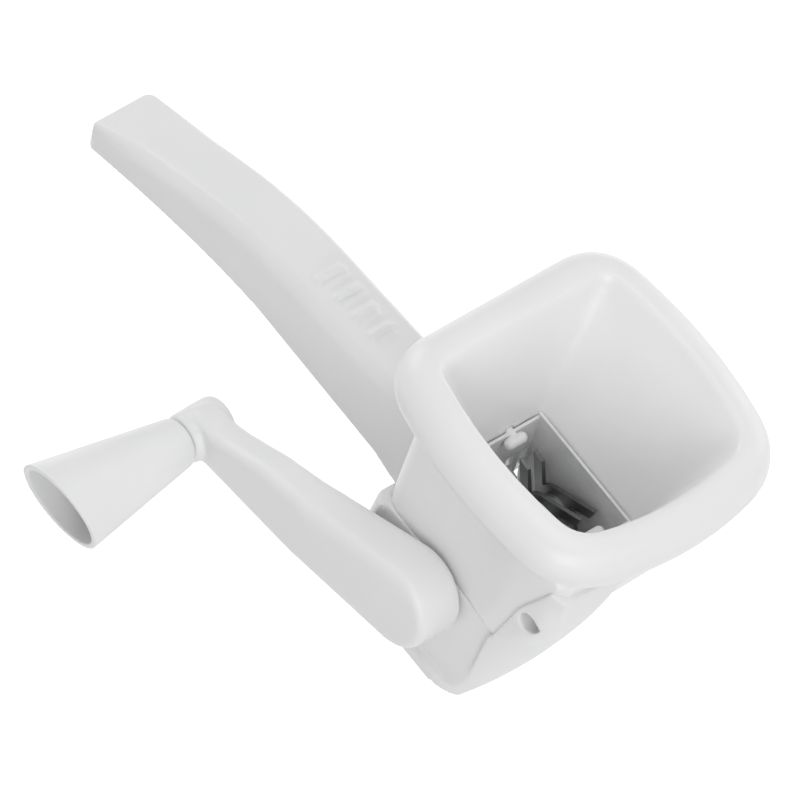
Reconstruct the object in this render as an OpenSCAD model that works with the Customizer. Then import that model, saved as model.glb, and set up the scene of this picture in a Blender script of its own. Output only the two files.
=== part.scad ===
// Rotary herb mill: a hand-held frame with a funnel hopper, a slotted steel cutter
// insert, a rotor of hooked cutter wheels and a side crank with a spinning knob.
// The origin is the middle of the outlet rim. +X points away from the handle,
// the rotor shaft runs along Y with the crank on the -Y side, and +Z is up.

/* [Frame] */
// half width of the frame across the shaft
frame_half_y = 38; // [36:0.5:42]
// height of the frame's side and back walls
frame_top = 34.2; // [32:0.2:36]
// distance from the shaft plane back to the outside of the back wall
frame_back = 26; // [25:0.5:29]
// distance from the shaft plane to the front edge of the outlet
outlet_front = 21.6; // [21:0.1:23]
// how far the bib on the crank side leans out over its height
bib_reach = 15; // [13:0.5:16]
// height of the front bib
bib_top = 68.8; // [66:0.2:69]
// front edge of the outlet beyond the crank side
outlet_low = 18.3; // [17.8:0.1:19]
// wall thickness of the plastic mouldings
wall = 2.4; // [2:0.1:2.8]
// depth of the crank pocket in the side wall
pocket_depth = 2.1; // [1.6:0.1:2.3]
// radius of the hole through the cheek on the crank side
cheek_hole_r = 3.1; // [2.5:0.1:3.6]

/* [Handle] */
// width of the handle
handle_w = 21.2; // [20:0.2:25]
// height of the handle's top where it meets the frame
handle_z = 32.6; // [31.6:0.1:33.2]
// length of the straight root of the handle
handle_root = 64; // [58:1:70]
// radius of the bend along the handle's top
handle_bend_r = 130; // [115:1:150]
// overall reach of the handle behind the shaft
handle_reach = 163.2; // [161:0.2:166]
// rounding of the handle's top edges
handle_edge_r = 5; // [3:0.5:6]
// number of thumb ribs
thumb_ribs = 4; // [3:1:5]

/* [Hopper] */
// half width of the rim's centre line across the shaft
rim_half = 34.6; // [34.2:0.1:35]
// rim's centre line behind the shaft
rim_back = 33.8; // [33:0.1:34.4]
// rim's centre line in front of the shaft
rim_front = 33.4; // [33:0.1:34.4]
// corner radius of the rim's centre line at the handle side
rim_rear_r = 7.2; // [6.6:0.1:9]
// corner radius of the rim's centre line at the front
rim_front_r = 12; // [11:0.1:14]
// radius of the rim's bowed sides
rim_side_r = 124; // [110:2:160]
// radius of the rim's bowed front
rim_nose_r = 97; // [85:1:130]
// height of the rim's middle
rim_z = 75.4; // [74.6:0.2:76]
// radius of the rolled rim
rim_r = 8.5; // [8.1:0.1:8.8]
// radius of the rim's inner shoulder
rim_shoulder_r = 2.5; // [2.3:0.1:2.8]

/* [Cutter] */
// height of the rotor shaft
shaft_z = 27.8; // [27.2:0.2:28.6]
// radius of the rotor shaft
shaft_r = 3; // [2.6:0.1:3.2]
// number of cutter wheels
wheels = 4; // [4:1:4]
// distance from wheel to wheel
wheel_pitch = 4.9; // [4.6:0.1:5]
// reach of the cutter fingers
wheel_r = 17; // [16.7:0.1:17.2]
// thickness of a cutter wheel
wheel_t = 1.2; // [1:0.1:1.4]
// offset of each finger from the shaft
finger_offset = 5.8; // [5:0.1:6.2]
// width of a finger
finger_w = 3; // [2.4:0.1:3.4]
// inside radius of the slotted trough
trough_r = 15.5; // [15.2:0.1:15.8]
// height of the cutter insert's top edge
trough_top = 46.8; // [46:0.2:48]
// half length of the cutter insert at its top edge
trough_half_x = 19; // [18.6:0.1:19.6]
// half width of the cutter insert
trough_half_y = 10.4; // [10.2:0.1:10.8]
// thickness of the steel sheet
sheet = 0.8; // [0.6:0.1:1]

/* [Crank] */
// length of the crank from shaft to knob
crank_r = 74.8; // [70:0.2:78]
// angle of the crank below the handle direction
crank_drop = 14.6; // [8:0.2:20]
// radius of the crank's hub
hub_r = 12.8; // [11.5:0.1:13.5]
// radius of the boss that carries the knob
boss_r = 6.9; // [6.4:0.1:7.4]
// length of the knob along its middle
knob_l = 41.3; // [38:0.1:44]
// radius of the knob's small end
knob_small_r = 7; // [6.6:0.1:7.4]
// radius of the knob's open end
knob_big_r = 13.6; // [12.6:0.1:14.2]
// slant of the knob's open end
knob_slant = 20; // [10:1:22]

/* [Hidden] */
$fn = 48;
running = 0.05;
gap = 0.3;
nudge = 0.01;
inner_y = frame_half_y - wall;
pad_out = frame_half_y - pocket_depth;
pad_in = pad_out - 2.9;
boss_in = pad_in - 6;
bush_r = 5;
tube_r = 4.5;
skirt_y = inner_y - gap;
pocket_front = outlet_front + 0.7;
pocket_back = frame_back - 3.6;
pocket_floor_z = 3.2;
cheek_x = outlet_front + 9;
cheek_z = frame_top + 18;
neck_x = trough_half_x + 0.2;
neck_y = trough_half_y + 0.2;
neck_foot = shaft_z - 6;
front_lean = 16.4;
bend_start = 5.5;
bend_end = 23.6;
wheel_first = -wheel_pitch * (wheels - 1) / 2;
rotor_half = -wheel_first + wheel_t / 2;
hub_back = pad_out + 0.6;
hub_front = hub_back + 15;
mid_r = 33;
mid_back = hub_back + 6.9;
boss_back = hub_back + 8;
boss_front = boss_back + 12;
axle_r = 2.5;
axle_tip = boss_front + gap + 31;
crank_a = 180 + crank_drop;
finger_phase = 28;
peg_r = 1.5;
peg_z = trough_top - 2.2;
lip_in = rim_r - wall;
shoulder_q = 0.6;
shoulder_h = rim_r - rim_shoulder_r;
face_q = shoulder_q + rim_shoulder_r;
// Centre of the bowed side, and of the corners that run smoothly into the sides.
side_c = [-2, rim_half - rim_side_r];
rear_c = [rim_rear_r - rim_back,
    side_c[1] + sqrt(pow(rim_side_r - rim_rear_r, 2) - pow(rim_rear_r - rim_back - side_c[0], 2))];
nose_c = [rim_front - rim_nose_r, 0];
front_c = circles_meet(side_c, rim_side_r - rim_front_r, nose_c, rim_nose_r - rim_front_r);
nose_a = atan2(front_c[1] - nose_c[1], front_c[0] - nose_c[0]);
front_a = atan2(front_c[1] - side_c[1], front_c[0] - side_c[0]);
rear_a = atan2(rear_c[1] - side_c[1], rear_c[0] - side_c[0]);

// Front of the bib at height z: it leans out quickly above the outlet, then steepens.
function bib_x(z) = outlet_front + bib_reach * (1 - pow(max(0, 1 - z / 60), 1.8));
// Front of the frame away from the crank side at height z.
function front_low(z) = min(outlet_low + z * tan(front_lean), bib_x(z));
// Underside of the handle: level behind the frame, then falling to the tip.
function handle_under(x) = x > -93 ? 5.9 : 5.9 - 13 * pow((-93 - x) / 66, 1.5);
// Upper right meeting point of two circles.
function circles_meet(a, ra, b, rb) = let (d = norm(b - a), t = (d * d + ra * ra - rb * rb) / (2 * d),
    h = sqrt(ra * ra - t * t), e = (b - a) / d)
    a + t * e + h * [e[1], -e[0]];
// Half length of the insert at height z between shaft and top edge.
function insert_x(z) = trough_r + sheet
    + (trough_half_x - trough_r - sheet) * (z - shaft_z) / (trough_top - shaft_z);

// Rounded rectangle from plain squares and circles.
module round_rect(hx, hy, r) {
    square([2 * hx - 2 * r, 2 * hy], center = true);
    square([2 * hx, 2 * hy - 2 * r], center = true);
    for (sx = [-1, 1], sy = [-1, 1])
        translate([sx * (hx - r), sy * (hy - r)])
            circle(r);
}

// Draws a profile given in X and Z and runs it along Y between two places.
module along_y(y0, y1) {
    translate([0, y1, 0])
        rotate([90, 0, 0])
            linear_extrude(y1 - y0)
                children();
}

// Places a turned piece on an axis along Y, growing toward +Y from y0.
module on_y(x, y0, z) {
    translate([x, y0, z])
        rotate([-90, 0, 0])
            children();
}

module pin_y(r, y0, y1, x = 0, z = shaft_z) {
    on_y(x, y0, z)
        cylinder(r = r, h = y1 - y0);
}

module tube_y(r, bore, y0, y1, x = 0, z = shaft_z) {
    difference() {
        pin_y(r, y0, y1, x, z);
        pin_y(bore, y0 - 1, y1 + 1, x, z);
    }
}

// Turns a piece drawn with the crank along +X into the crank's rest direction.
module at_crank() {
    translate([0, 0, shaft_z])
        rotate([0, -crank_a, 0])
            children();
}

// Frame

// Side view of the frame: upright back, leaning bib in front, and the crease behind the bib.
module frame_profile() {
    steps = 14;
    front = [for (i = [0:steps]) [bib_x(bib_top * i / steps), bib_top * i / steps]];
    crease = [[outlet_front + 10.2, bib_top], [outlet_front + 4.6, frame_top + 19.5],
        [outlet_front + 1.6, frame_top + 1.7], [outlet_front + 1, frame_top]];
    polygon(concat([[-frame_back, 0]], front, crease, [[-frame_back, frame_top]]));
}

module cavity_profile() {
    steps = 14;
    inset = wall * 1.06;
    front = [for (i = [0:steps]) [bib_x(bib_top * i / steps) - inset, bib_top * i / steps]];
    polygon(concat([[-frame_back + wall, -1], [outlet_front - inset, -1]], front,
        [[bib_x(bib_top) - inset, bib_top + 1], [-frame_back + wall, bib_top + 1]]));
}

// Plan of the bib: a small corner on the crank side and a wide one on the other.
module bib_plan(half_y, near_r, far_r) {
    translate([-120, -half_y])
        square([120 - far_r, 2 * half_y]);
    translate([-120, -half_y + near_r])
        square([120, 2 * half_y - near_r - far_r]);
    translate([-near_r, -half_y + near_r])
        circle(near_r);
    translate([-near_r - 20, -half_y])
        square([20, 20]);
    translate([-far_r, half_y - far_r])
        circle(far_r, $fn = 64);
}

// Upright prism that rounds the frame's corners and leans with the bib at the front.
module corner_prism(half_y, r, inset) {
    lean = atan(bib_reach / 60);
    intersection() {
        translate([60 - frame_back + inset, 0, -5])
            linear_extrude(bib_top + 10)
                round_rect(60, half_y, 4);
        translate([outlet_front + 3.4 - inset, 0, 0])
            rotate([0, lean, 0])
                translate([0, 0, -40])
                    linear_extrude(bib_top + 80)
                        bib_plan(half_y, r, r + 18);
    }
}

// Away from the crank side the front falls back to a plain slope, over a rounded shoulder.
module front_relief(inset) {
    shoulder_r = 12;
    bulge = 4.6;
    start = -24;
    translate([outlet_low, 0, 0])
        rotate([0, front_lean, 0])
            translate([0, 0, -20])
                linear_extrude(bib_top + 40)
                    difference() {
                        translate([-inset, start])
                            square([40, 80]);
                        translate([bulge - shoulder_r, start])
                            circle(shoulder_r - inset);
                    }
}

module frame_outer() {
    difference() {
        intersection() {
            along_y(-frame_half_y, frame_half_y)
                frame_profile();
            corner_prism(frame_half_y, 12, 0);
        }
        front_relief(0);
    }
}

module frame_cavity() {
    difference() {
        intersection() {
            along_y(-inner_y, inner_y)
                cavity_profile();
            corner_prism(inner_y, 12 - wall, wall);
        }
        front_relief(wall);
    }
}

module side_pads() {
    intersection() {
        frame_outer();
        for (s = [0, 1])
            mirror([0, s, 0])
                translate([-frame_back + wall / 2, -inner_y - wall / 2, 0])
                    cube([frame_back + outlet_front, inner_y + wall / 2 - pad_in, frame_top]);
    }
    for (s = [0, 1])
        mirror([0, s, 0])
            pin_y(frame_top - shaft_z - gap, -pad_in - 1, -boss_in);
}

// Collar behind the cheek hole.
module hole_collar() {
    intersection() {
        frame_outer();
        pin_y(cheek_hole_r + 1, -frame_half_y, -inner_y + 3.6, cheek_x, cheek_z);
    }
}

// Recess on the crank side, open at the top, with a lip in front, below and behind.
module crank_pocket() {
    along_y(-frame_half_y - 1, -pad_out)
        union() {
            translate([-pocket_back, pocket_floor_z + 6])
                square([pocket_back + pocket_front, frame_top]);
            translate([-pocket_back + 6, pocket_floor_z])
                square([pocket_back + pocket_front - 12, 10]);
            for (x = [-pocket_back + 6, pocket_front - 6])
                translate([x, pocket_floor_z + 6])
                    circle(6);
        }
}

// Handle section with rounded top edges, hanging down from its top line.
module handle_section(w, depth, r) {
    translate([-w / 2, -depth])
        square([w, depth - r]);
    translate([-w / 2 + r, -depth])
        square([w - 2 * r, depth]);
    for (s = [-1, 1])
        translate([s * (w / 2 - r), -r])
            circle(r);
}

// Sweep of the handle's section along its top line, set in by the given amount.
// The straight parts reach a little into the bend, which is a hair smaller.
module handle_sweep(w, r, inset) {
    depth = 34;
    lap = 0.6;
    hair = 0.02;
    bend_x = -frame_back - handle_root * cos(bend_start);
    bend_z = handle_z - handle_root * sin(bend_start);
    centre_x = bend_x + handle_bend_r * sin(bend_start);
    centre_z = bend_z - handle_bend_r * cos(bend_start);
    translate([-frame_back, 0, handle_z])
        rotate([0, -bend_start, 0])
            translate([wall, 0, -inset])
                rotate([90, 0, -90])
                    linear_extrude(handle_root + wall + lap)
                        handle_section(w, depth, r);
    translate([centre_x, 0, centre_z])
        rotate([90, 0, 0])
            rotate([0, 0, 90 + bend_start])
                rotate_extrude(angle = bend_end - bend_start, $fn = 96)
                    translate([handle_bend_r - inset - hair, 0])
                        rotate([0, 0, -90])
                            handle_section(w - 2 * hair, depth, r - hair);
    translate([centre_x, 0, centre_z])
        rotate([0, -bend_end, 0])
            translate([lap, 0, handle_bend_r - inset])
                rotate([90, 0, -90])
                    linear_extrude(60)
                        handle_section(w, depth, r);
}

module handle_side() {
    steps = 16;
    tip_low = -handle_reach;
    under = [for (i = [0:steps]) let (x = -92 + (tip_low + 92) * i / steps) [x, handle_under(x)]];
    polygon(concat([[-frame_back, 50], [-frame_back, 3], [-frame_back - 12, 4.4],
        [-frame_back - 19, 5.9]], under, [[-handle_reach + 4, 12], [-handle_reach + 4, 50]]));
}

module handle_body() {
    intersection() {
        handle_sweep(handle_w, handle_edge_r, 0);
        along_y(-handle_w, handle_w)
            handle_side();
        translate([-handle_reach + 150, 0, -40])
            linear_extrude(100)
                round_rect(150, handle_w / 2 + 0.6, 6.4);
    }
}

// The handle is a shell open below, stiffened by cross ribs.
module handle_hollow() {
    rib_at = [-52, -74, -96, -118, -140];
    difference() {
        intersection() {
            handle_sweep(handle_w - 2 * wall, handle_edge_r - wall, wall);
            translate([-handle_reach + wall + 3, -handle_w, -40])
                cube([120, 2 * handle_w, 100]);
        }
        for (x = rib_at)
            translate([x, -handle_w, -40])
                cube([1.8, 2 * handle_w, 100]);
        translate([-frame_back - 14, -handle_w, -40])
            cube([60, 2 * handle_w, 100]);
    }
}

module thumb_rib_row() {
    for (i = [0:thumb_ribs - 1]) {
        along = 37 + 7 * i;
        x = -frame_back - along * cos(bend_start);
        z = handle_z - along * sin(bend_start);
        half = 2.2 + 0.4 * i;
        pin_y(1.3, -half, half, x, z - 0.5);
        for (y = [-half, half])
            translate([x, y, z - 0.5])
                sphere(1.3);
    }
}

module mill_frame() {
    color("whitesmoke")
        difference() {
            union() {
                difference() {
                    frame_outer();
                    frame_cavity();
                }
                side_pads();
                hole_collar();
            }
            crank_pocket();
            pin_y(bush_r, -frame_half_y, -boss_in + 1);
            pin_y(bush_r, boss_in - 1, pad_out + 1);
            pin_y(9, pad_out, frame_half_y + 1);
            pin_y(cheek_hole_r, -frame_half_y - 1, -inner_y + 5, cheek_x, cheek_z);
        }
}

module handle() {
    color("whitesmoke")
        union() {
            difference() {
                handle_body();
                handle_hollow();
            }
            thumb_rib_row();
        }
}

// Hopper

// Section of the rim: a round roll outside, a tight shoulder inside, hollow and open below.
module rim_section(hair) {
    difference() {
        union() {
            intersection() {
                circle(rim_r - hair);
                translate([0, -rim_r])
                    square([rim_r, 2 * rim_r]);
            }
            translate([-shoulder_q, shoulder_h - 1])
                square([shoulder_q + 1, rim_shoulder_r + 1 - hair]);
            translate([-face_q + hair, shoulder_h - 1.6])
                square([face_q, 1.6]);
            translate([-shoulder_q, shoulder_h])
                circle(rim_shoulder_r - hair);
        }
        circle(lip_in + hair);
        translate([-1, -rim_r - 1])
            square([1 + lip_in + hair, rim_r + 1]);
    }
}

// Points of an arc from angle a to angle b.
function arc(c, r, a, b, n) = [for (i = [0:n]) c + r * [cos(a + (b - a) * i / n), sin(a + (b - a) * i / n)]];

// Rounded plan along the rim's line, set in by the given amount.
module rim_plan(inset) {
    half = concat(
        arc(nose_c, rim_nose_r - inset, 0, nose_a, 4),
        arc(front_c, rim_front_r - inset, nose_a, front_a, 8),
        arc(side_c, rim_side_r - inset, front_a, rear_a, 6),
        arc(rear_c, rim_rear_r - inset, rear_a, 180, 7));
    n = len(half);
    polygon(concat(half, [for (i = [0:n - 2]) [half[n - 1 - i][0], -half[n - 1 - i][1]]]));
}

// One bowed piece of the rim, swept about its centre.
module rim_piece(c, r, a, b, fine, hair) {
    translate([c[0], c[1], rim_z])
        rotate([0, 0, a])
            rotate_extrude(angle = b - a, $fn = fine)
                translate([r, 0])
                    rim_section(hair);
}

// The sides reach a little into the corners, which are a hair smaller.
module rim() {
    lap = 0.4;
    hair = 0.1;
    nose_lap = lap / rim_nose_r * 180 / PI;
    side_lap = lap / rim_side_r * 180 / PI;
    rim_piece(nose_c, rim_nose_r, -nose_a - nose_lap, nose_a + nose_lap, 160, 0);
    for (s = [0, 1])
        mirror([0, s, 0]) {
            rim_piece(front_c, rim_front_r, nose_a, front_a, 48, hair);
            rim_piece(side_c, rim_side_r, front_a - side_lap, rear_a + side_lap, 160, 0);
            rim_piece(rear_c, rim_rear_r, rear_a, 180, 48, hair);
        }
    translate([-rim_back, rear_c[1] + lap, rim_z])
        rotate([90, 0, 0])
            linear_extrude(2 * rear_c[1] + 2 * lap)
                mirror([1, 0, 0])
                    rim_section(0);
}

// Plan of the skirt with a wide corner at the front away from the crank.
module skirt_plan(x0, x1, half_y, r, near_r, far_r) {
    polygon(concat(
        arc([x0 + r, -half_y + r], r, 180, 270, 8),
        arc([x1 - near_r, -half_y + near_r], near_r, 270, 360, 8),
        arc([x1 - far_r, half_y - far_r], far_r, 0, 90, 14),
        arc([x0 + r, half_y - r], r, 90, 180, 8)));
}

// The outer skirt drops from under the rim onto the frame's walls.
module skirt_solid(inset, over) {
    foot_front = min(front_low(frame_top) - 2 * wall - gap, outlet_front + 0.4);
    foot_back = frame_back - 1.2;
    hull() {
        translate([0, 0, frame_top - over])
            linear_extrude(nudge)
                skirt_plan(-foot_back + inset, foot_front - inset, skirt_y - inset,
                    6 - inset, 3 - inset, 22 - inset);
        translate([0, 0, rim_z + rim_r - wall / 2 + over])
            linear_extrude(nudge)
                skirt_plan(-rim_back + 0.8 + inset, rim_front - 0.8 - inset, skirt_y - inset,
                    14 - inset, 8 - inset, 20 - inset);
    }
}

module skirt() {
    difference() {
        skirt_solid(0, 0);
        skirt_solid(wall, nudge);
    }
}

// Outside of the funnel, from the neck up into the rim.
module funnel_solid() {
    hull() {
        translate([0, 0, trough_top - 1])
            linear_extrude(nudge)
                round_rect(neck_x + wall, neck_y + wall, 2.6, $fn = 32);
        translate([0, 0, rim_z + shoulder_h - 0.5])
            linear_extrude(nudge)
                rim_plan(face_q - wall);
    }
}

// Inside of the funnel, from below the neck's top out through the rim's rounded shoulder.
module funnel_void() {
    edge = face_q - 0.15;
    hull() {
        translate([0, 0, trough_top - 1 - 2 * nudge])
            linear_extrude(nudge)
                round_rect(neck_x, neck_y, 0.7, $fn = 32);
        translate([0, 0, rim_z + shoulder_h])
            linear_extrude(nudge)
                rim_plan(edge);
    }
    hull() {
        translate([0, 0, rim_z + shoulder_h])
            linear_extrude(nudge)
                rim_plan(edge);
        translate([0, 0, rim_z + shoulder_h + 4])
            linear_extrude(nudge)
                rim_plan(edge - 2.2);
    }
}

module neck() {
    difference() {
        translate([-neck_x - wall, -neck_y - wall, neck_foot])
            cube([2 * (neck_x + wall), 2 * (neck_y + wall), trough_top - neck_foot]);
        translate([-neck_x, -neck_y, neck_foot - 1])
            cube([2 * neck_x, 2 * neck_y, trough_top]);
        translate([-neck_x - wall - 1, -neck_y + 2, neck_foot - 1])
            cube([2 * (neck_x + wall + 1), 2 * (neck_y - 2), shaft_z + 6 - neck_foot]);
    }
}

module hopper() {
    color("white")
        difference() {
            union() {
                rim();
                skirt();
                funnel_solid();
                neck();
            }
            funnel_void();
            pin_y(tube_r + gap, -neck_y - wall - 1, neck_y + wall + 1);
            peg_holes(peg_r);
        }
}

// Cutter insert

module peg_holes(r) {
    translate([-neck_x - wall - 1, 0, peg_z])
        rotate([0, 90, 0])
            cylinder(r = r, h = 2 * (neck_x + wall + 1));
}

module trough_outline(t) {
    top = trough_top;
    difference() {
        union() {
            polygon([[-insert_x(top) + t, top], [-insert_x(shaft_z) + t, shaft_z],
                [insert_x(shaft_z) - t, shaft_z], [insert_x(top) - t, top]]);
            translate([0, shaft_z])
                circle(trough_r + sheet - t);
        }
    }
}

module cutter_trough() {
    color("silver")
        difference() {
            along_y(-trough_half_y, trough_half_y)
                trough_outline(0);
            along_y(-trough_half_y + sheet, trough_half_y - sheet)
                trough_outline(sheet);
            translate([-trough_half_x, -trough_half_y + sheet, trough_top - 1])
                cube([2 * trough_half_x - 2 * sheet, 2 * (trough_half_y - sheet), 4], center = false);
            for (i = [0:wheels - 1])
                pin_y(wheel_r + 0.6, wheel_first + wheel_pitch * i - wheel_t / 2 - 0.7,
                    wheel_first + wheel_pitch * i + wheel_t / 2 + 0.7);
            pin_y(tube_r + gap, -trough_half_y - 1, trough_half_y + 1);
            peg_holes(peg_r);
        }
}

// Peg that holds the insert: a stem through both walls and a rounded bar inside.
module trough_peg() {
    bar_r = 1.6;
    bar_half = 2;
    inner_face = insert_x(peg_z) - sheet;
    translate([0, 0, peg_z]) {
        translate([inner_face - bar_r, 0, 0])
            rotate([0, 90, 0])
                cylinder(r = peg_r, h = neck_x + wall - inner_face + bar_r);
        translate([inner_face - bar_r - 0.1, 0, 0]) {
            rotate([90, 0, 0])
                cylinder(r = bar_r, h = 2 * bar_half, center = true);
            for (s = [-1, 1])
                translate([0, s * bar_half, 0])
                    sphere(bar_r);
        }
    }
}

module trough_peg_front() {
    color("white")
        trough_peg();
}

module trough_peg_rear() {
    color("white")
        mirror([1, 0, 0])
            trough_peg();
}

// Rotor

// Shaft end inside the crank: round with two flats.
module drive_end(extra) {
    intersection() {
        pin_y(shaft_r, -hub_front + 2.4 - extra, -hub_back + nudge);
        at_crank()
            translate([-shaft_r - 1, -hub_front, -shaft_r * 0.75])
                cube([2 * shaft_r + 2, hub_front, 1.5 * shaft_r]);
    }
}

module rotor_shaft() {
    color("gainsboro")
        union() {
            pin_y(shaft_r, -hub_back, pad_out + 1.3);
            drive_end(0);
        }
}

module cutter_finger() {
    reach = sqrt(pow(wheel_r, 2) - pow(finger_offset + finger_w / 2, 2));
    polygon([[0, finger_offset - finger_w / 2], [reach - 2.2, finger_offset - finger_w / 2],
        [reach, finger_offset + finger_w / 2], [0, finger_offset + finger_w / 2]]);
}

module cutter_wheel(i) {
    y = wheel_first + wheel_pitch * i;
    color("lightgray")
        difference() {
            translate([0, 0, shaft_z])
                along_y(y - wheel_t / 2, y + wheel_t / 2)
                    union() {
                        circle(finger_offset + finger_w / 2);
                        for (k = [0:3])
                            rotate(finger_phase + 90 * k)
                                cutter_finger();
                    }
            pin_y(shaft_r, y - wheel_t, y + wheel_t);
        }
}

module wheel_spacer(i) {
    y = wheel_first + wheel_pitch * i;
    color("silver")
        tube_y(tube_r + 0.6, shaft_r, y + wheel_t / 2, y + wheel_pitch - wheel_t / 2);
}

module spacer_tube_near() {
    color("silver")
        tube_y(tube_r, shaft_r, -boss_in + gap, -rotor_half);
}

module spacer_tube_far() {
    color("silver")
        tube_y(tube_r, shaft_r, rotor_half, boss_in - gap);
}

module bush_near() {
    color("ivory")
        tube_y(bush_r, shaft_r + running, -pad_out, -boss_in);
}

module bush_far() {
    color("ivory")
        tube_y(bush_r, shaft_r + running, boss_in, pad_out);
}

module shaft_clip() {
    color("gray")
        tube_y(6, shaft_r, pad_out + gap, pad_out + 1.3);
}

// Crank

// Disc with rounded edges on the crank's line, from the back to the front place.
module soft_disc(along, r, back, front, edge, up = 0) {
    translate([along, -front, -up])
        rotate([-90, 0, 0])
            rotate_extrude($fn = 40)
                intersection() {
                    translate([-r, 0])
                        square([2 * r, front - back]);
                    union() {
                        translate([0, edge])
                            square([r, front - back - 2 * edge]);
                        square([r - edge, front - back]);
                        translate([r - edge, edge])
                            circle(edge, $fn = 24);
                        translate([r - edge, front - back - edge])
                            circle(edge, $fn = 24);
                    }
                    square([r, front - back]);
                }
}

module crank_arm() {
    color("whitesmoke")
        difference() {
            at_crank() {
                hull() {
                    soft_disc(0, hub_r, hub_back, hub_front, 2.6);
                    soft_disc(mid_r, 10.4, mid_back, mid_back + 12, 3.4, 3);
                }
                hull() {
                    soft_disc(mid_r, 10.4, mid_back, mid_back + 12, 3.4, 3);
                    soft_disc(crank_r - 2, boss_r, boss_back + 0.6, boss_front - 2.6, 3, 1.8);
                }
                soft_disc(crank_r, boss_r, boss_back, boss_front, 2);
            }
            drive_end(nudge);
            at_crank()
                translate([crank_r, -boss_front - 1, 0])
                    rotate([-90, 0, 0])
                        cylinder(r = axle_r, h = 10);
        }
}

module knob_axle() {
    color("gainsboro")
        at_crank()
            translate([crank_r, -axle_tip - 1.6, 0])
                rotate([-90, 0, 0])
                    cylinder(r = axle_r, h = axle_tip + 1.6 - boss_front + 9);
}

module knob_washer() {
    color("silver")
        at_crank()
            translate([crank_r, -axle_tip - 1.2, 0])
                rotate([-90, 0, 0])
                    difference() {
                        cylinder(r = 4.6, h = 1);
                        translate([0, 0, -1])
                            cylinder(r = axle_r, h = 4);
                    }
}

// Hollow cone, open and cut on a slant at its big end, with a bearing tube inside.
module knob() {
    slope = (knob_big_r - knob_small_r) / knob_l;
    far = knob_l + 6;
    skin = 1.7;
    tube = 4.5;
    floor_h = 3.2;
    color("white")
        at_crank()
            translate([crank_r, -boss_front - gap, 0])
                rotate([90, crank_a, 0])
                    difference() {
                        rotate_extrude()
                            polygon([[axle_r + running, 0], [knob_small_r - 0.8, 0],
                                [knob_small_r, 0.9], [knob_small_r + slope * far, far],
                                [knob_small_r + slope * far - skin, far],
                                [knob_small_r + slope * floor_h - skin, floor_h], [tube, floor_h],
                                [tube, axle_tip - boss_front - gap - gap],
                                [axle_r + running, axle_tip - boss_front - gap - gap]]);
                        translate([0, 0, knob_l])
                            rotate([0, 0, 106])
                                rotate([0, -knob_slant, 0])
                                    translate([-40, -40, 0])
                                        cube([80, 80, 40]);
                    }
}

mill_frame();
handle();
hopper();
cutter_trough();
trough_peg_front();
trough_peg_rear();
rotor_shaft();
cutter_wheel(0);  // cutter_wheel_1
cutter_wheel(1);  // cutter_wheel_2
cutter_wheel(2);  // cutter_wheel_3
cutter_wheel(3);  // cutter_wheel_4
wheel_spacer(0);  // wheel_spacer_1
wheel_spacer(1);  // wheel_spacer_2
wheel_spacer(2);  // wheel_spacer_3
spacer_tube_near();
spacer_tube_far();
bush_near();
bush_far();
shaft_clip();
crank_arm();
knob_axle();
knob_washer();
knob();
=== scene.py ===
"""Looks of the rotary herb mill: white moulded plastic, stamped steel cutters, plain studio light.

Forms that the solids leave plain are added in millimetres in the part's own frame: +X points away
from the handle, the crank is on the -Y side, called the near side here, and +Z is up.
"""

import math

import bmesh
import bpy
import numpy as np
from mathutils import Matrix, Vector

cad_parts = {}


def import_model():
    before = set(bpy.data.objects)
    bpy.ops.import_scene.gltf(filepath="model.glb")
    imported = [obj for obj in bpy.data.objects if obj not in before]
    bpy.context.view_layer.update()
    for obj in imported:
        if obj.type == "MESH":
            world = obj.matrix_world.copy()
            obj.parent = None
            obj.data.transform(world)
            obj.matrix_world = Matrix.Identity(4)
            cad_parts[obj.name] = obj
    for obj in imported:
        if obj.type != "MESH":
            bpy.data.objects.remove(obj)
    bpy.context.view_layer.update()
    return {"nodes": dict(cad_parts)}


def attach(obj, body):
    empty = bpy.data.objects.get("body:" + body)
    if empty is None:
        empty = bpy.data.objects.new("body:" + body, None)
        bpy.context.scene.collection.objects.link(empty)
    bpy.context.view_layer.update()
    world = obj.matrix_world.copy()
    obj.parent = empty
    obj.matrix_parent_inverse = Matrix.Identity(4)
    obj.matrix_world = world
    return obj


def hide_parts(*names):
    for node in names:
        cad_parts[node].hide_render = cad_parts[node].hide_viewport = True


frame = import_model()
nodes = frame["nodes"]
scene = bpy.context.scene
MM = 0.001


# Shader maths


class Value:
    """A shader socket that takes part in Python sums. Each operator adds one Math node."""

    def __init__(self, finish, socket):
        self.finish = finish
        self.socket = socket

    def math(self, operation, first, second):
        return self.finish.value("ShaderNodeMath", {"operation": operation}, {0: first, 1: second})

    def __add__(self, other):
        return self.math("ADD", self, other)

    __radd__ = __add__

    def __mul__(self, other):
        return self.math("MULTIPLY", self, other)

    __rmul__ = __mul__


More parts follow.
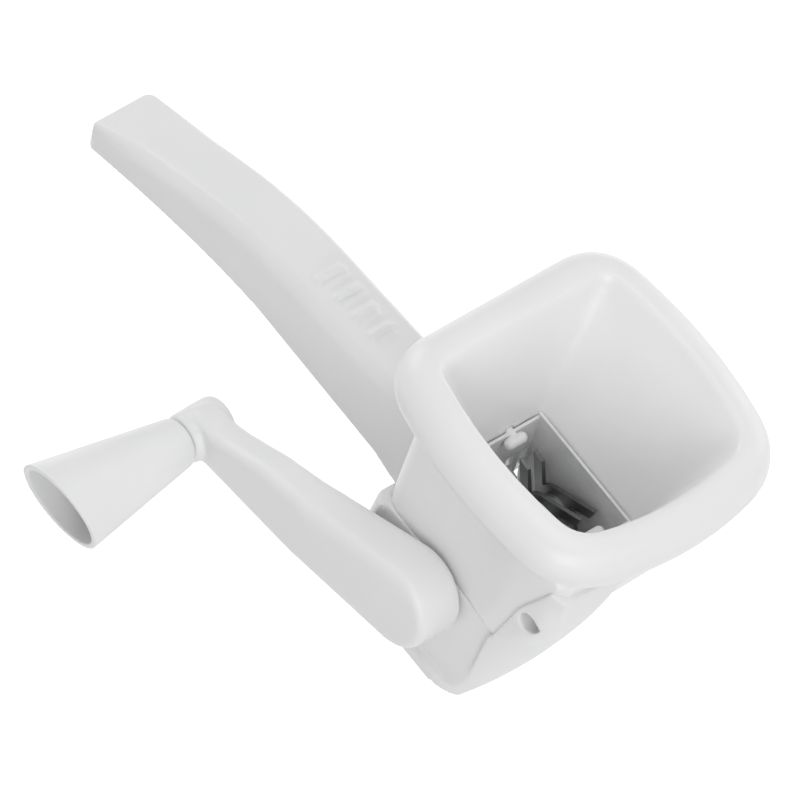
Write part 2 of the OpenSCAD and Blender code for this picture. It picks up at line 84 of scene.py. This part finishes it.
class Finish:
    """One material's node tree, with a method that adds any node by type, settings and sockets."""

    def __init__(self, name):
        self.material = bpy.data.materials.new(name)
        self.material.use_nodes = True
        self.tree = self.material.node_tree
        self.tree.nodes.clear()
        self.output = self.node("ShaderNodeOutputMaterial")

    def node(self, kind, settings=None, sockets=None):
        made = self.tree.nodes.new(kind)
        for key, setting in (settings or {}).items():
            setattr(made, key, setting)
        for key, given in (sockets or {}).items():
            if isinstance(given, Value):
                self.tree.links.new(given.socket, made.inputs[key])
            else:
                made.inputs[key].default_value = given
        return made

    def value(self, kind, settings=None, sockets=None, output=0):
        return Value(self, self.node(kind, settings, sockets).outputs[output])

    def place(self, stretch=(1, 1, 1), turn=(0, 0, 0)):
        """Object coordinates, stretched and turned."""
        raw = self.value("ShaderNodeTexCoord", output="Object")
        return self.value("ShaderNodeMapping", {"vector_type": "POINT"},
                          {"Vector": raw, "Scale": stretch, "Rotation": turn})

    def noise(self, where, scale, detail, rough=0.5):
        return self.value("ShaderNodeTexNoise", None,
                          {"Vector": where, "Scale": scale, "Detail": detail, "Roughness": rough})

    def span(self, source, low, high):
        """The middle range of a noise run to low..high."""
        return self.value("ShaderNodeMapRange", {"clamp": True},
                          {"Value": source, "From Min": 0.3, "From Max": 0.7, "To Min": low, "To Max": high})

    def tint(self, factor, first, second):
        """Mix of two colours. A colour Mix node has them on sockets 6 and 7 and its result on 2."""
        return self.value("ShaderNodeMix", {"data_type": "RGBA"},
                          {0: factor, 6: (*first, 1), 7: (*second, 1)}, output=2)

    def bump(self, height, strength, depth):
        return self.value("ShaderNodeBump", None,
                          {"Height": height, "Strength": strength, "Distance": depth})

    def shade(self, **sockets):
        """Principled surface with the given sockets, underscores standing for spaces."""
        shader = self.node("ShaderNodeBsdfPrincipled", None,
                           {key.replace("_", " "): given for key, given in sockets.items()})
        self.tree.links.new(shader.outputs[0], self.output.inputs["Surface"])
        return self.material


def moulded_plastic(name, light, dark, rough, grain):
    """White moulded plastic: faint flow clouds in the colour and gloss, and a fine tool grain."""
    finish = Finish(name)
    where = finish.place()
    clouds = finish.noise(where, scale=38.0, detail=2.0)
    flow = finish.noise(finish.place(stretch=(1.0, 1.0, 3.0), turn=(0.2, 0.4, 0.1)), scale=90.0, detail=3.0)
    fine = finish.noise(where, scale=2600.0, detail=2.0, rough=0.6)
    return finish.shade(
        Base_Color=finish.tint(finish.span(clouds, 0.0, 1.0), dark, light),
        Roughness=finish.span(flow, rough - 0.05, rough + 0.06),
        IOR=1.49,
        Coat_Weight=finish.span(clouds, 0.02, 0.07),
        Coat_Roughness=0.12,
        Normal=finish.bump(fine * 0.6 + flow * 0.4, strength=grain, depth=0.1 * MM))


def drawn_steel(name, colour, rough, stretch, scratch, metal=1.0):
    """Stainless steel with fine drawing lines along one direction and a few smudges."""
    finish = Finish(name)
    lines = finish.noise(finish.place(stretch), scale=1.0, detail=4.0, rough=0.65)
    smudge = finish.noise(finish.place(), scale=160.0, detail=3.0)
    darker = tuple(0.82 * c for c in colour)
    return finish.shade(
        Base_Color=finish.tint(finish.span(smudge * 0.5 + lines * 0.5, 0.0, 1.0), darker, colour),
        Metallic=metal,
        Roughness=finish.span(lines, rough - 0.08, rough + 0.1) + smudge * 0.05,
        Normal=finish.bump(lines, strength=scratch, depth=0.05 * MM))


frame_plastic = moulded_plastic(
    "satin white frame", light=(0.86, 0.862, 0.86), dark=(0.835, 0.838, 0.838), rough=0.42, grain=0.10)
hopper_plastic = moulded_plastic(
    "gloss white hopper", light=(0.885, 0.886, 0.884), dark=(0.862, 0.864, 0.863), rough=0.36, grain=0.05)
crank_plastic = moulded_plastic(
    "satin white crank", light=(0.86, 0.862, 0.86), dark=(0.835, 0.838, 0.838), rough=0.40, grain=0.09)
peg_plastic = moulded_plastic(
    "plain white peg", light=(0.88, 0.88, 0.875), dark=(0.85, 0.85, 0.845), rough=0.45, grain=0.08)
insert_steel = drawn_steel(
    "stamped insert steel", (0.93, 0.932, 0.935), rough=0.45, stretch=(60, 60, 2600), scratch=0.12,
    metal=0.15)
cutter_steel = drawn_steel(
    "ground cutter steel", (0.30, 0.303, 0.306), rough=0.38, stretch=(900, 60, 2400), scratch=0.14)
rod_steel = drawn_steel(
    "drawn rod steel", (0.55, 0.552, 0.555), rough=0.38, stretch=(2200, 80, 2200), scratch=0.10)


# Making of mouldings

EVEN_TURN = 8.0  # degrees that the normal may turn along an edge of a flat or a wide curve
EVEN_ROUNDS = 16  # smoothing of flats and wide curves


def evaluated_mesh(piece):
    """Plain mesh of a piece with its modifiers applied, which are then removed."""
    graph = bpy.context.evaluated_depsgraph_get()
    mesh = bpy.data.meshes.new_from_object(piece.evaluated_get(graph))
    piece.modifiers.clear()
    return mesh


def read(collection, field, kind, width):
    """One field of a mesh's vertices or edges as an array with a row for each."""
    values = np.empty(len(collection) * width, kind)
    collection.foreach_get(field, values)
    return values.reshape(-1, width)


def averaged_normals(mesh, rounds):
    """Vertex normals, each averaged with its neighbours' a few times over."""
    normals = read(mesh.vertices, "normal", np.float32, 3)
    ends = read(mesh.edges, "vertices", np.int32, 2)
    for _ in range(rounds):
        around = normals.copy()
        np.add.at(around, ends[:, 0], normals[ends[:, 1]])
        np.add.at(around, ends[:, 1], normals[ends[:, 0]])
        normals = around / (np.linalg.norm(around, axis=1, keepdims=True) + 1e-9)
    return normals


def even_vertices(mesh):
    """Vertices of the flats and of the wide curves: the averaged normal turns little on every edge there."""
    normals = averaged_normals(mesh, rounds=3)
    ends = read(mesh.edges, "vertices", np.int32, 2)
    turn = np.sum(normals[ends[:, 0]] * normals[ends[:, 1]], axis=1)
    bent = np.zeros(len(normals), bool)
    bent[ends[turn < math.cos(math.radians(EVEN_TURN))]] = True
    return np.flatnonzero(~bent)


def smooth(piece, rounds, group=""):
    """Smooths a piece's mesh, or only the vertices of a group."""
    soften = piece.modifiers.new("soften", "SMOOTH")
    soften.factor = 0.5
    soften.iterations = rounds
    soften.vertex_group = group
    piece.data = evaluated_mesh(piece)


def moulded(name, source, added, voxel, rounds):
    """One soft-edged moulding from a CAD solid and added forms: skinned, edges rounded, flats evened."""
    joined = bmesh.new()
    joined.from_mesh(nodes[source].data)
    bmesh.ops.remove_doubles(joined, verts=joined.verts, dist=1e-6)
    for form in added:
        joined.from_mesh(form)
        bpy.data.meshes.remove(form)
    mesh = bpy.data.meshes.new(name)
    joined.to_mesh(mesh)
    joined.free()
    piece = bpy.data.objects.new(name, mesh)
    scene.collection.objects.link(piece)
    skin = piece.modifiers.new("skin", "REMESH")
    skin.mode = "VOXEL"
    skin.voxel_size = voxel * MM
    piece.data = evaluated_mesh(piece)
    smooth(piece, rounds)
    even = piece.vertex_groups.new(name="even")
    even.add(even_vertices(piece.data).tolist(), 1.0, "REPLACE")
    smooth(piece, EVEN_ROUNDS, "even")
    piece.vertex_groups.clear()
    for face in piece.data.polygons:
        face.use_smooth = True
    piece.data.name = name
    return piece


def dress(piece, material, body, replaced):
    """Gives a moulding its material and slot, in place of a CAD node on the same body."""
    piece.data.materials.clear()
    piece.data.materials.append(material)
    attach(piece, body)
    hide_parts(replaced)


def lofted(name, rings):
    """Closed solid through rings of points in millimetres, each ring with the same count."""
    form = bmesh.new()
    loops = [[form.verts.new(Vector(point) * MM) for point in ring] for ring in rings]
    for first, second in zip(loops, loops[1:]):
        for i in range(len(first)):
            j = (i + 1) % len(first)
            form.faces.new((first[i], first[j], second[j], second[i]))
    form.faces.new(loops[0])
    form.faces.new(loops[-1])
    bmesh.ops.recalc_face_normals(form, faces=form.faces)
    mesh = bpy.data.meshes.new(name)
    form.to_mesh(mesh)
    form.free()
    return mesh


def round_bar(name, x, z, steps):
    """Turned solid along Y through (y, radius) steps."""
    turns = [math.radians(10 * i) for i in range(36)]
    return lofted(name, [[(x + r * math.cos(t), y, z + r * math.sin(t)) for t in turns] for y, r in steps])


# Handle: it leaves the frame's back with a slight fall, bends down and runs on straight to its end

BACK, ROOT_Z = -26.0, 32.6  # where its top line leaves the frame
HALF_W, REACH = 10.6, 163.2  # half its width, and how far its end is from the outlet's middle
ROOT_L, BEND_R = 64.0, 130.0
ROOT_SLOPE, END_SLOPE = math.radians(5.5), math.radians(23.6)
UNDERSIDE_Z = 4.6  # at the frame
END_GAP = 0.3  # the crown stops this far short of the solid's end
RIBS, RIB_START, RIB_STEP = 4, 39.5, 7


def handle_top(s):
    """Place and upward direction on the handle's top line, s millimetres from the frame's back."""
    bend_l = BEND_R * (END_SLOPE - ROOT_SLOPE)
    slope = ROOT_SLOPE + min(max(s - ROOT_L, 0.0), bend_l) / BEND_R
    root = min(s, ROOT_L)
    x = BACK - root * math.cos(ROOT_SLOPE) - BEND_R * (math.sin(slope) - math.sin(ROOT_SLOPE))
    z = ROOT_Z - root * math.sin(ROOT_SLOPE) + BEND_R * (math.cos(slope) - math.cos(ROOT_SLOPE))
    tail = max(s - ROOT_L - bend_l, 0.0)
    x -= tail * math.cos(slope)
    z -= tail * math.sin(slope)
    return Vector((x, 0, z)), Vector((-math.sin(slope), 0, math.cos(slope)))


def fade(left, length, least):
    """Share that grows from least at the handle's end to 1 at a length from it."""
    return least + (1 - least) * min(left / length, 1)


def crown_side(left, tip_r, cut):
    """Half of the crown's section, left millimetres from the end: side, sloped shoulder and ridge."""
    half = HALF_W
    if left < tip_r:
        half += math.sqrt(tip_r ** 2 - (tip_r - left) ** 2) - tip_r
    drop = 0.5 * max(1 - left / 1.5, 0)
    return [(half, -6.5), (half, -1 - 4 * cut - drop), (half - cut, -0.5 - 1.5 * cut - drop),
            (half - 2.7 * cut, -0.3 - drop), (half - 3.2 * cut, -drop)]


def handle_crown():
    """Top of the handle: a flat between two ridges, shoulders that fade toward the end, a squared tip."""
    rings = []
    for s in [-2 + 4 * i for i in range(28)] + [110 + 0.5 * i for i in range(96)]:
        place, up = handle_top(s)
        left = place.x + REACH - END_GAP
        if left < 0.1:
            break
        far = crown_side(left, tip_r=3.0, cut=fade(left, 24, 0.5))
        near = crown_side(left, tip_r=1.0, cut=fade(left, 14, 0.1))
        outline = far + [(-y, h) for y, h in reversed(near)]
        upright = Vector((up.x * fade(left, 8, 0.5), 0, up.z))
        rings.append([place + upright * h + Vector((0, y, 0)) for y, h in outline])
    return lofted("handle crown", rings)


def handle_plug():
    """End of the handle that runs into the frame's back wall."""
    low, high = UNDERSIDE_Z, ROOT_Z - 3
    corners = ((-HALF_W, low), (HALF_W, low), (HALF_W, high), (-HALF_W, high))
    return lofted("handle plug", [[(x, y, z) for y, z in corners] for x in (BACK - 4, BACK + 2)])


def thumb_rib(count):
    """Low rib across the handle for the thumb: it rises toward the hopper and falls off steeply."""
    place, up = handle_top(RIB_START + RIB_STEP * count)
    along = Vector((up.z, 0, -up.x))
    profile = ((-2.2, -1), (-2.0, 0), (-0.6, 1.2), (0.3, 1.8), (0.8, 1.5), (1.0, 0), (1.0, -1))
    half, rings = 4.0 + 0.3 * count, []
    for i in range(11):
        turn = math.radians(18 * i - 90)
        rise = max(math.cos(turn), 0.05) ** 0.6
        middle = place + Vector((0, half * math.sin(turn), 0))
        rings.append([middle + along * a + up * (h * rise if h > 0 else h) for a, h in profile])
    return lofted("thumb rib", rings)


# Front of the mill: the frame's bib with a hole in its near cheek, and the skirt that fills it

HOLE_X, HOLE_Z, HOLE_R = 30.6, 52.2, 3.1
CORNER_LOW_R, CORNER_R = 12, 5.5  # turn of the bib's near corner at its foot and from the hole up
BIB_NEAR = -37.9  # outside of the near cheek
SKIRT_NEAR = -36.8  # outside of the skirt beside it
SKIRT_FOOT, SKIRT_LEAN = 18.3, math.radians(16.4)
CHEEK_TOP = 58  # above this the skirt runs into the bib's corner
FUNNEL_LOW, FUNNEL_HIGH = (34.2, 20), (82.8, 30.6)  # height and front of the funnel's outside


def bib_front(z):
    """Front of the bib at a height."""
    return 21.6 + 15 * (1 - max(0, 1 - z / 60) ** 1.8)


def skirt_nose():
    """Front of the hopper's skirt, which fills the bib: it runs out to the crease and along the front."""
    creases = ((34.8, 22.8), (40, 23.9), (46, 24.9), (53.7, 26.2), (57, 27.4), (58.6, 28), (68.4, 31.6),
               (72, 32.4))
    (low, low_x), (high, high_x) = FUNNEL_LOW, FUNNEL_HIGH
    rings = []
    for z, crease in creases:
        bib = bib_front(z)
        front = min(SKIRT_FOOT + z * math.tan(SKIRT_LEAN), bib) - 1.4
        inner = low_x + (high_x - low_x) * (z - low) / (high - low)
        edge = crease + 0.8
        side = [(edge, -34), (edge, -31.4), (bib - 2, -30)]
        if z > CHEEK_TOP:
            side = [(bib - 3.4, -35.4), (bib - 1.4, -33.5), (bib - 1.4, -30)]
        plan = [(3, -33), (3, -34.8), (19, SKIRT_NEAR), (edge, SKIRT_NEAR), *side, (bib - 1.6, -24),
                (front, -14), (front, 4), (front - 4.6, 20), (inner, 20), (inner, -33)]
        rings.append([(x, y, z) for x, y in plan])
    return lofted("skirt nose", rings)


def bib_corner():
    """Near corner of the bib with a flat cheek round the hole and a tighter turn to the front."""
    rings = []
    for z in (38, 42, 46, 50, 54, 58, 62, 66, 68.4):
        bib = bib_front(z) - 0.1
        r = CORNER_LOW_R - (CORNER_LOW_R - CORNER_R) * min((z - 38) / 12, 1)
        middle_x, middle_y = bib - r, BIB_NEAR + r
        start = float(np.interp(z, (34.2, 35.9, 53.7, 68.8), (22.6, 23.2, 26.2, 31.8))) + 0.6
        outer, inner = [], []
        for i in range(13):
            share = math.sin(math.radians(7.5 * i))
            x = start + (bib - start) * share
            over = max(x - middle_x, 0)
            outer.append((x, middle_y - math.sqrt(max(r * r - over * over, 0)), z))
            x = start + (bib - 1.1 - start) * share
            over = x - 12.6 - 0.25 * z
            inner.append((x, -26 - math.sqrt(max(11.2 ** 2 - over * over, 0)), z))
        rings.append(outer + inner[::-1])
    form = bpy.data.objects.new("bib corner", lofted("bib corner", rings))
    drill = bpy.data.objects.new("drill", round_bar("drill", HOLE_X, HOLE_Z, ((-41, HOLE_R), (-28, HOLE_R))))
    for item in (form, drill):
        scene.collection.objects.link(item)
    cut = form.modifiers.new("cut", "BOOLEAN")
    cut.operation = "DIFFERENCE"
    cut.object = drill
    bored = evaluated_mesh(form)
    for item in (form, drill):
        bpy.data.meshes.remove(item.data)
    return bored


# Crank: its boss stands at the arm's end, and the arm narrows toward it

SHAFT_Z = 27.8
BOSS_X, BOSS_Z, BOSS_R = -72.385, 8.945, 7.0
ARM_L = 74.8  # from the shaft to the boss
NARROW_START, NARROW_SHARE = 48, 0.16


def narrow_arm(piece):
    """Draws the arm's upper edge in toward the boss, which then stands proud of it."""
    along, over = Vector((-0.968, 0, -0.252)), Vector((-0.252, 0, 0.968))
    shaft = Vector((0, 0, SHAFT_Z))
    for vertex in piece.data.vertices:
        place = vertex.co / MM - shaft
        u, v = place.dot(along), place.dot(over)
        if NARROW_START < u < 75 and v > 0:
            clear = min(max((math.hypot(u - ARM_L, v) - BOSS_R - 0.6) / 4, 0), 1)
            vertex.co -= over * (v * NARROW_SHARE * clear * min((u - NARROW_START) / 14, 1) * MM)


# Pieces

handle_forms = [handle_crown(), handle_plug()] + [thumb_rib(count) for count in range(RIBS)]
boss_end = round_bar("boss end", BOSS_X, BOSS_Z,
                     ((-50, BOSS_R), (-46, BOSS_R), (-43.9, BOSS_R), (-43.0, 6.7), (-42.6, 6.1)))

frame_moulding = moulded("frame_moulding", "mill_frame", [bib_corner()], voxel=0.55, rounds=3)
dress(frame_moulding, frame_plastic, "frame", "mill_frame")
handle_moulding = moulded("handle_moulding", "handle", handle_forms, voxel=0.52, rounds=3)
dress(handle_moulding, frame_plastic, "frame", "handle")
hopper_moulding = moulded("hopper_moulding", "hopper", [skirt_nose()], voxel=0.8, rounds=4)
dress(hopper_moulding, hopper_plastic, "frame", "hopper")
crank_moulding = moulded("crank_moulding", "crank_arm", [boss_end], voxel=0.42, rounds=3)
narrow_arm(crank_moulding)
smooth(crank_moulding, 8)
dress(crank_moulding, crank_plastic, "crank", "crank_arm")
knob_moulding = moulded("knob_moulding", "knob", [], voxel=0.36, rounds=4)
dress(knob_moulding, crank_plastic, "knob", "knob")

for name, node in nodes.items():
    if name.startswith("cutter_wheel"):
        material = cutter_steel
    elif name == "cutter_trough":
        material = insert_steel
    elif name.startswith(("trough_peg", "bush")):
        material = peg_plastic
    else:
        material = rod_steel
    node.data.materials.clear()
    node.data.materials.append(material)


# Studio, in metres

FLOOR_Z, FLOOR_HALF = -0.064, 6.0
AMBIENT = 0.45
LAMP_SIZE, LAMP_AIM = 1.0, (-0.04, -0.02, 0.04)
LAMPS = (("overhead", (0, 0, 1.8), 5.0),
         ("front", (1.2, 0, 1.2), 3.0),
         ("handle side", (-1.6, 0, 0.5), 7.8),
         ("far side", (0, 1.6, 0.5), 6.3),
         ("crank side", (1.1, -1.1, 0.8), 9.4))


def studio_white(finish, lit, strength):
    """White to the camera and to mirror-like rays, with a share of real light that keeps the shadow."""
    path = finish.node("ShaderNodeLightPath")
    seen = Value(finish, path.outputs["Is Camera Ray"])
    mirrored = Value(finish, path.outputs["Is Glossy Ray"])
    through = Value(finish, path.outputs["Is Transmission Ray"])
    glow = finish.node("ShaderNodeEmission", None, {"Color": (1, 1, 1, 1), "Strength": strength})
    paint = finish.node("ShaderNodeBsdfDiffuse", None, {"Color": (*lit, 1)})
    both = finish.node("ShaderNodeAddShader")
    finish.tree.links.new(glow.outputs[0], both.inputs[0])
    finish.tree.links.new(paint.outputs[0], both.inputs[1])
    mix = finish.node("ShaderNodeMixShader", None, {0: seen + mirrored + through})
    finish.tree.links.new(paint.outputs[0], mix.inputs[1])
    finish.tree.links.new(both.outputs[0], mix.inputs[2])
    finish.tree.links.new(mix.outputs[0], finish.output.inputs["Surface"])
    return finish.material


def floor():
    """Plain pale floor under the mill."""
    mesh = bpy.data.meshes.new("floor")
    corners = ((-1, -1), (1, -1), (1, 1), (-1, 1))
    mesh.from_pydata([(x * FLOOR_HALF, y * FLOOR_HALF, FLOOR_Z) for x, y in corners], [], [(0, 1, 2, 3)])
    board = bpy.data.objects.new("floor", mesh)
    mesh.materials.append(studio_white(Finish("pale floor"), lit=(0.6, 0.6, 0.6), strength=0.75))
    scene.collection.objects.link(board)


def world():
    """White to the camera, and an even soft light on the mill."""
    sky = bpy.data.worlds.new("studio")
    scene.world = sky
    sky.use_nodes = True
    tree = sky.node_tree
    tree.nodes.clear()
    path = tree.nodes.new("ShaderNodeLightPath")
    seen = tree.nodes.new("ShaderNodeMath")
    seen.operation = "MAXIMUM"
    tree.links.new(path.outputs["Is Camera Ray"], seen.inputs[0])
    tree.links.new(path.outputs["Is Transmission Ray"], seen.inputs[1])
    mix = tree.nodes.new("ShaderNodeMixShader")
    tree.links.new(seen.outputs[0], mix.inputs[0])
    for socket, strength in ((1, AMBIENT), (2, 1.0)):
        background = tree.nodes.new("ShaderNodeBackground")
        background.inputs["Color"].default_value = (1, 1, 1, 1)
        background.inputs["Strength"].default_value = strength
        tree.links.new(background.outputs[0], mix.inputs[socket])
    output = tree.nodes.new("ShaderNodeOutputWorld")
    tree.links.new(mix.outputs[0], output.inputs["Surface"])


def lamp(name, place, power):
    """Square soft lamp turned to the mill."""
    light = bpy.data.lights.new(name, "AREA")
    light.size = LAMP_SIZE
    light.energy = power
    holder = bpy.data.objects.new(name, light)
    holder.location = place
    holder.rotation_euler = (Vector(LAMP_AIM) - Vector(place)).to_track_quat("-Z", "Y").to_euler()
    scene.collection.objects.link(holder)


def camera():
    """Long lens at the viewing angle worked out from the mill's edges, with the picture's roll."""
    toward = Vector((0.264, -0.528, 0.807)).normalized()
    across = Vector((0.611, 0.740, 0.284))
    across = (across - across.dot(toward) * toward).normalized()
    up = toward.cross(across)
    target = Vector((-41.56, -21.0, 46.67)) * MM
    distance, width = 6.0, 203.6 * MM
    lens = bpy.data.cameras.new("photo view")
    lens.sensor_width = 36.0
    lens.lens = lens.sensor_width * distance / width
    holder = bpy.data.objects.new("photo view", lens)
    turn = Matrix((across, up, toward)).transposed().to_4x4()
    holder.matrix_world = Matrix.Translation(target + distance * toward) @ turn
    scene.collection.objects.link(holder)
    scene.camera = holder


floor()
world()
for name, place, power in LAMPS:
    lamp(name, place, power)
camera()
scene.view_settings.view_transform = "Standard"
